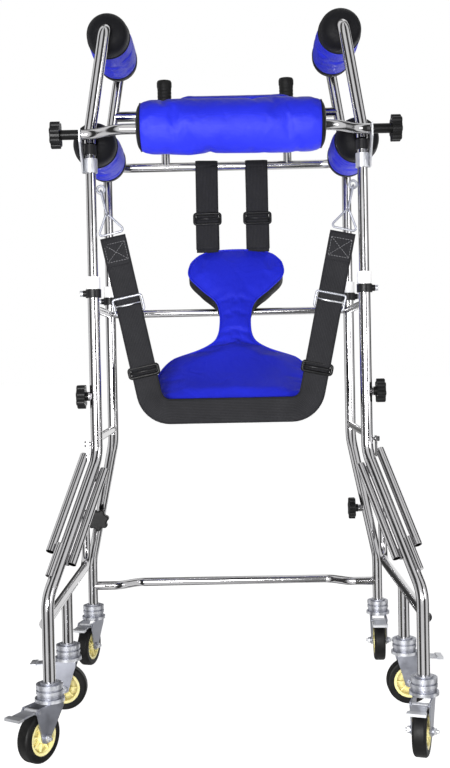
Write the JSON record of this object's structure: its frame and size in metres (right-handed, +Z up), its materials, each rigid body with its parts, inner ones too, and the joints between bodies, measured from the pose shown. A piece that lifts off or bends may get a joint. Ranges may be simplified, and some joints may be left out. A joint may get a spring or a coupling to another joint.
{
  "type": "six-caster standing and gait-training walker",
  "caption": "Upright tubular walker on swivel casters with armpit and forearm rolls, a chest pad, upright hand grips, a removable rear bar and a sling saddle seat.",
  "frame": {"origin": "on the floor, under the middle of the object's box", "axes": "+Z up, +Y the way the user walks, +X to the user's right"},
  "size_m": [0.8122, 0.734, 1.348],
  "materials": {
    "stainless_steel": "polished",
    "zinc": "zinc plated",
    "white_plastic": "gloss",
    "black_plastic": "satin",
    "black_rubber": "matte",
    "black_webbing": "woven",
    "blue_fabric": "satin weave",
    "black_tyre": "matte",
    "yellow_plastic": "gloss"
  },
  "bodies": {
    "lower_frame": {"rear_legs": "stainless_steel", "front_legs": "stainless_steel", "side_rails": "stainless_steel", "side_links": "stainless_steel", "lower_crossbars": "stainless_steel", "leg_braces": "stainless_steel", "upright_ferrules": "white_plastic", "clip_collars": "black_plastic", "stem_sleeves": "zinc"},
    "upper_frame": {"inner_tubes": "stainless_steel", "tube_top_collars": "black_plastic", "front_handlebar": "stainless_steel", "hand_grips": "black_rubber", "bar_brackets": "zinc", "strap_hangers": "zinc", "seat_straps": "black_webbing", "strap_buckles": "zinc", "strap_slides": "black_plastic", "seat": "blue_fabric"},
    "armpit_frame": {"armpit_tubes": "stainless_steel", "pad_crossbar": "stainless_steel", "armpit_rolls": "blue_fabric", "forearm_rolls": "blue_fabric", "chest_pad": "blue_fabric"},
    "removable_rear_bar": {"rear_bar": "stainless_steel", "rear_roll": "blue_fabric"},
    "left_bar_knob": {"left_bar_knob": "black_plastic"},
    "left_height_knob": {"left_height_knob": "black_plastic"},
    "left_lower_knob": {"left_lower_knob": "black_plastic"},
    "right_bar_knob": {"right_bar_knob": "black_plastic"},
    "right_height_knob": {"right_height_knob": "black_plastic"},
    "right_lower_knob": {"right_lower_knob": "black_plastic"},
    "rear_left_pull_pin": {"rear_left_pull_pin": "zinc"},
    "rear_right_pull_pin": {"rear_right_pull_pin": "zinc"},
    "front_left_pull_pin": {"front_left_pull_pin": "zinc"},
    "front_right_pull_pin": {"front_right_pull_pin": "zinc"},
    "rear_left_swivel": {"rear_left_fork": "zinc"},
    "rear_left_wheel": {"rear_left_hub": "yellow_plastic", "rear_left_tyre": "black_tyre"},
    "rear_left_brake": {"rear_left_pedal": "zinc"},
    "rear_right_swivel": {"rear_right_fork": "zinc"},
    "rear_right_wheel": {"rear_right_hub": "yellow_plastic", "rear_right_tyre": "black_tyre"},
    "rear_right_brake": {"rear_right_pedal": "zinc"},
    "middle_left_swivel": {"middle_left_fork": "zinc"},
    "middle_left_wheel": {"middle_left_hub": "yellow_plastic", "middle_left_tyre": "black_tyre"},
    "middle_left_brake": {"middle_left_pedal": "zinc"},
    "middle_right_swivel": {"middle_right_fork": "zinc"},
    "middle_right_wheel": {"middle_right_hub": "yellow_plastic", "middle_right_tyre": "black_tyre"},
    "middle_right_brake": {"middle_right_pedal": "zinc"},
    "front_left_swivel": {"front_left_fork": "zinc"},
    "front_left_wheel": {"front_left_hub": "yellow_plastic", "front_left_tyre": "black_tyre"},
    "front_left_brake": {"front_left_pedal": "zinc"},
    "front_right_swivel": {"front_right_fork": "zinc"},
    "front_right_wheel": {"front_right_hub": "yellow_plastic", "front_right_tyre": "black_tyre"},
    "front_right_brake": {"front_right_pedal": "zinc"}
  },
  "joints": [
    {"name": "upper_height", "type": "slide", "parent": "lower_frame", "child": "upper_frame", "axis": [0, 0, 1], "range_m": [0, 0.1]},
    {"name": "armpit_height", "type": "slide", "parent": "upper_frame", "child": "armpit_frame", "axis": [0, 0, 1], "range_m": [0, 0.1]},
    {"name": "rear_bar_lift", "type": "slide", "parent": "upper_frame", "child": "removable_rear_bar", "axis": [0, 0, 1], "range_m": [0, 0.06]},
    {"name": "left_bar_knob_turn", "type": "hinge", "parent": "removable_rear_bar", "child": "left_bar_knob", "pos_m": [-0.2687, -0.145, 1.101], "axis": [-1, 0, 0], "continuous": true},
    {"name": "left_height_knob_turn", "type": "hinge", "parent": "lower_frame", "child": "left_height_knob", "pos_m": [-0.2664, -0.113, 0.62], "axis": [-1, 0, 0], "continuous": true},
    {"name": "left_lower_knob_turn", "type": "hinge", "parent": "lower_frame", "child": "left_lower_knob", "pos_m": [-0.29803, 0.24579, 0.336], "axis": [0, -1, 0], "continuous": true},
    {"name": "right_bar_knob_turn", "type": "hinge", "parent": "removable_rear_bar", "child": "right_bar_knob", "pos_m": [0.2687, -0.145, 1.101], "axis": [1, 0, 0], "continuous": true},
    {"name": "right_height_knob_turn", "type": "hinge", "parent": "lower_frame", "child": "right_height_knob", "pos_m": [0.2664, -0.113, 0.62], "axis": [1, 0, 0], "continuous": true},
    {"name": "right_lower_knob_turn", "type": "hinge", "parent": "lower_frame", "child": "right_lower_knob", "pos_m": [0.27532, 0.25798, 0.349], "axis": [-1, 0, 0], "continuous": true},
    {"name": "rear_left_pull_pin_pull", "type": "slide", "parent": "lower_frame", "child": "rear_left_pull_pin", "axis": [-1, 0, 0], "range_m": [0, 0.005], "stiffness_N_per_m": 1500},
    {"name": "rear_right_pull_pin_pull", "type": "slide", "parent": "lower_frame", "child": "rear_right_pull_pin", "axis": [1, 0, 0], "range_m": [0, 0.005], "stiffness_N_per_m": 1500},
    {"name": "front_left_pull_pin_pull", "type": "slide", "parent": "lower_frame", "child": "front_left_pull_pin", "axis": [-1, 0, 0], "range_m": [0, 0.005], "stiffness_N_per_m": 1500},
    {"name": "front_right_pull_pin_pull", "type": "slide", "parent": "lower_frame", "child": "front_right_pull_pin", "axis": [1, 0, 0], "range_m": [0, 0.005], "stiffness_N_per_m": 1500},
    {"name": "rear_left_swivel_turn", "type": "hinge", "parent": "lower_frame", "child": "rear_left_swivel", "pos_m": [-0.325, -0.27, 0.104], "axis": [0, 0, 1], "continuous": true},
    {"name": "rear_left_wheel_spin", "type": "hinge", "parent": "rear_left_swivel", "child": "rear_left_wheel", "pos_m": [-0.34097, -0.29657, 0.044], "axis": [0.8572, -0.515, 0], "continuous": true},
    {"name": "rear_left_brake_press", "type": "hinge", "parent": "rear_left_swivel", "child": "rear_left_brake", "pos_m": [-0.34921, -0.31029, 0.092], "axis": [0.8572, -0.515, 0], "range_deg": [0, 10]},
    {"name": "rear_right_swivel_turn", "type": "hinge", "parent": "lower_frame", "child": "rear_right_swivel", "pos_m": [0.325, -0.27, 0.104], "axis": [0, 0, 1], "continuous": true},
    {"name": "rear_right_wheel_spin", "type": "hinge", "parent": "rear_right_swivel", "child": "rear_right_wheel", "pos_m": [0.31542, -0.29948, 0.044], "axis": [0.9511, -0.309, 0], "continuous": true},
    {"name": "rear_right_brake_press", "type": "hinge", "parent": "rear_right_swivel", "child": "rear_right_brake", "pos_m": [0.31048, -0.3147, 0.092], "axis": [0.9511, -0.309, 0], "range_deg": [0, 10]},
    {"name": "middle_left_swivel_turn", "type": "hinge", "parent": "lower_frame", "child": "middle_left_swivel", "pos_m": [-0.332, -0.013, 0.104], "axis": [0, 0, 1], "continuous": true},
    {"name": "middle_left_wheel_spin", "type": "hinge", "parent": "middle_left_swivel", "child": "middle_left_wheel", "pos_m": [-0.34, -0.013, 0.044], "axis": [0, -1, 0], "continuous": true},
    {"name": "middle_left_brake_press", "type": "hinge", "parent": "middle_left_swivel", "child": "middle_left_brake", "pos_m": [-0.356, -0.013, 0.092], "axis": [0, -1, 0], "range_deg": [0, 10]},
    {"name": "middle_right_swivel_turn", "type": "hinge", "parent": "lower_frame", "child": "middle_right_swivel", "pos_m": [0.332, -0.013, 0.104], "axis": [0, 0, 1], "continuous": true},
    {"name": "middle_right_wheel_spin", "type": "hinge", "parent": "middle_right_swivel", "child": "middle_right_wheel", "pos_m": [0.34, -0.013, 0.044], "axis": [0, 1, 0], "continuous": true},
    {"name": "middle_right_brake_press", "type": "hinge", "parent": "middle_right_swivel", "child": "middle_right_brake", "pos_m": [0.356, -0.013, 0.092], "axis": [0, 1, 0], "range_deg": [0, 10]},
    {"name": "front_left_swivel_turn", "type": "hinge", "parent": "lower_frame", "child": "front_left_swivel", "pos_m": [-0.325, 0.324, 0.104], "axis": [0, 0, 1], "continuous": true},
    {"name": "front_left_wheel_spin", "type": "hinge", "parent": "front_left_swivel", "child": "front_left_wheel", "pos_m": [-0.33302, 0.29406, 0.044], "axis": [0.9659, -0.2588, 0], "continuous": true},
    {"name": "front_left_brake_press", "type": "hinge", "parent": "front_left_swivel", "child": "front_left_brake", "pos_m": [-0.33716, 0.2786, 0.092], "axis": [0.9659, -0.2588, 0], "range_deg": [0, 10]},
    {"name": "front_right_swivel_turn", "type": "hinge", "parent": "lower_frame", "child": "front_right_swivel", "pos_m": [0.325, 0.324, 0.104], "axis": [0, 0, 1], "continuous": true},
    {"name": "front_right_wheel_spin", "type": "hinge", "parent": "front_right_swivel", "child": "front_right_wheel", "pos_m": [0.32284, 0.29308, 0.044], "axis": [0.9976, -0.0698, 0], "continuous": true},
    {"name": "front_right_brake_press", "type": "hinge", "parent": "front_right_swivel", "child": "front_right_brake", "pos_m": [0.32172, 0.27711, 0.092], "axis": [0.9976, -0.0698, 0], "range_deg": [0, 10]}
  ]
}
